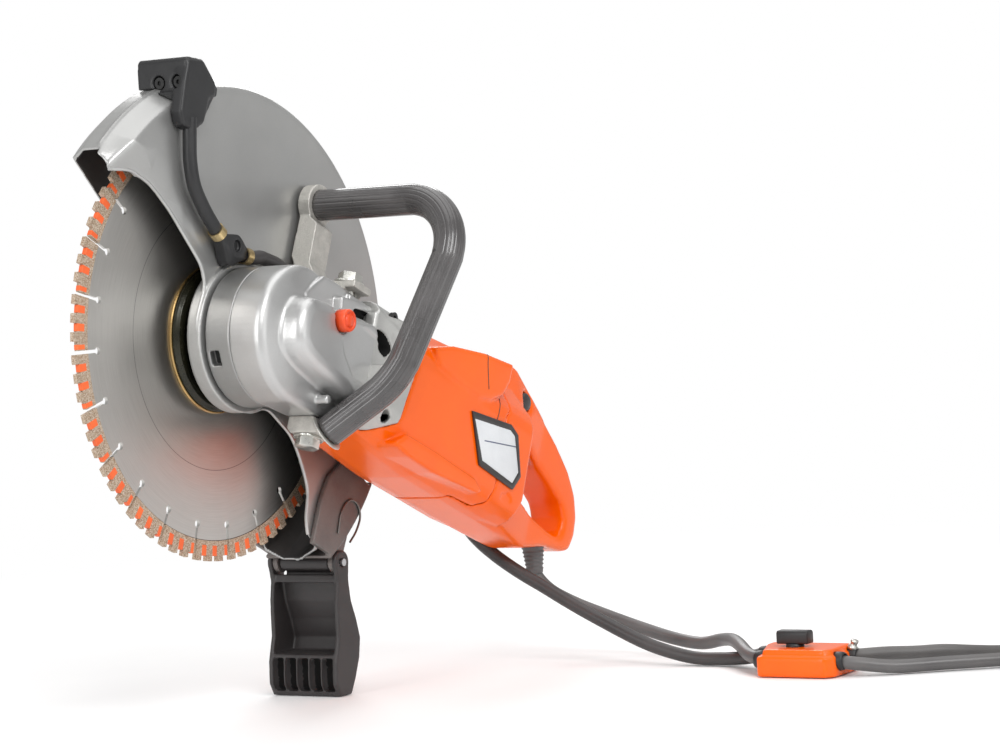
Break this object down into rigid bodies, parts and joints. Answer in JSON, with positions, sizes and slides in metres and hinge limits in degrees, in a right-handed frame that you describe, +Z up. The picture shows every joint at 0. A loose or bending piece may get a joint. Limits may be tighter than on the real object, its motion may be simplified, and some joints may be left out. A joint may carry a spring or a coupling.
{
  "type": "concrete cut-off saw",
  "caption": "Electric concrete cut-off saw with water kit: diamond blade under a tilting guard, loop front handle, trigger rear handle, cable and hose.",
  "frame": {"origin": "middle of the base of the saw's bounding box, without its cords, on the floor under it", "axes": "+X forwards to the blade, +Y to the operator's left where the motor is, +Z up"},
  "size_m": [0.6028, 0.762, 0.517],
  "materials": {
    "blade_steel": "brushed",
    "diamond_grit": "rough sintered metal",
    "zinc_yellow": "yellow passivated",
    "dark_steel": "dark oiled",
    "zinc": "zinc plated",
    "steel": "ground",
    "gear_steel": "case hardened",
    "laminations": "lacquered stack",
    "copper": "copper",
    "black_plastic": "matt",
    "brass": "plain",
    "carbon": "matt carbon",
    "circuit_green": "potted circuit board",
    "cast_silver": "satin casting",
    "cast_grey": "satin casting",
    "orange_plastic": "glossy",
    "screw_black": "blackened",
    "dark_plastic": "satin",
    "badge_white": "satin",
    "rubber_grip": "satin",
    "orange_button": "satin",
    "guard_paint": "satin silver-grey paint",
    "rubber_hose": "matt",
    "grey_rubber": "satin",
    "rubber_cable": "matt"
  },
  "bodies": {
    "saw_body": {"gearbox_collar": "cast_silver", "gear_housing": "cast_silver", "motor_flange": "cast_grey", "motor_housing": "orange_plastic", "rear_handle_left": "orange_plastic", "rear_handle_right": "orange_plastic", "housing_screws": "screw_black", "badge_frame": "dark_plastic", "badge_plate": "badge_white", "front_handle_tube": "steel", "front_handle_grip": "rubber_grip", "upper_bracket": "cast_silver", "lower_bracket": "cast_grey", "bracket_bolts": "zinc", "lock_spring": "steel", "trigger_switch": "black_plastic", "control_module": "circuit_green", "trigger_spring": "steel", "spindle_bearings": "steel", "armature_bearings": "steel", "field_stator": "laminations", "field_coils": "copper", "brush_holders": "brass", "carbon_brushes": "carbon", "strain_relief": "grey_rubber", "power_lead": "rubber_cable", "water_hose": "rubber_hose", "inline_box_base": "orange_plastic", "inline_box_cover": "orange_plastic", "supply_cable": "rubber_cable", "supply_hose": "rubber_hose", "cable_coil": "rubber_cable", "power_plug": "black_plastic", "hose_connector": "brass"},
    "blade": {"blade_core": "blade_steel", "blade_segments": "diamond_grit", "inner_flange": "zinc_yellow", "outer_flange": "dark_steel", "blade_bolt": "zinc", "spindle": "steel", "crown_gear": "gear_steel"},
    "armature": {"armature_shaft": "steel", "armature_core": "laminations", "commutator": "copper", "cooling_fan": "black_plastic"},
    "guard": {"guard_shell": "guard_paint", "guard_handle": "dark_plastic", "guard_handle_screws": "screw_black", "guard_hose": "rubber_hose", "hose_clamps": "brass", "hose_tee": "black_plastic", "spray_nozzles": "brass", "flap_bracket": "black_plastic", "flap_hinge_pin": "steel", "flap_spring": "steel"},
    "flap_door": {"flap": "dark_plastic"},
    "lock_button": {"spindle_lock_button": "orange_button"},
    "lockout": {"lockout_button": "dark_plastic"},
    "trigger_arm": {"trigger": "dark_plastic"},
    "tap": {"tap_lever": "black_plastic"}
  },
  "joints": [
    {"name": "blade_spin", "type": "hinge", "parent": "saw_body", "child": "blade", "pos_m": [0.1033, -0.0747, 0.298], "axis": [0, 1, 0], "continuous": true},
    {"name": "armature_spin", "type": "hinge", "parent": "saw_body", "child": "armature", "pos_m": [0.1033, 0.0053, 0.298], "axis": [0.9135, 0, 0.4067], "continuous": true},
    {"name": "guard_tilt", "type": "hinge", "parent": "saw_body", "child": "guard", "pos_m": [0.1033, -0.0467, 0.298], "axis": [0, 1, 0], "range_deg": [-20, 22]},
    {"name": "flap_swing", "type": "hinge", "parent": "guard", "child": "flap_door", "pos_m": [-0.0057, -0.0747, 0.108], "axis": [0, 1, 0], "range_deg": [0, 80], "stiffness_Nm_per_rad": 0.05},
    {"name": "spindle_lock_press", "type": "slide", "parent": "saw_body", "child": "lock_button", "axis": [0, -1, 0], "range_m": [0, 0.005], "stiffness_N_per_m": 1500, "deforming": ["lock_spring"]},
    {"name": "lockout_press", "type": "slide", "parent": "saw_body", "child": "lockout", "axis": [0, -1, 0], "range_m": [0, 0.004], "stiffness_N_per_m": 1200},
    {"name": "trigger_pull", "type": "hinge", "parent": "saw_body", "child": "trigger_arm", "pos_m": [-0.1795, 0.0053, 0.1907], "axis": [0, 1, 0], "range_deg": [0, 6], "stiffness_Nm_per_rad": 2, "deforming": ["trigger_spring"]},
    {"name": "tap_turn", "type": "hinge", "parent": "saw_body", "child": "tap", "pos_m": [-0.1647, 0.2853, 0.024], "axis": [0, 0, 1], "range_deg": [0, 90]}
  ],
  "couplings": [
    {"joint": "armature_spin", "follows": "blade_spin", "ratio": -4}
  ]
}
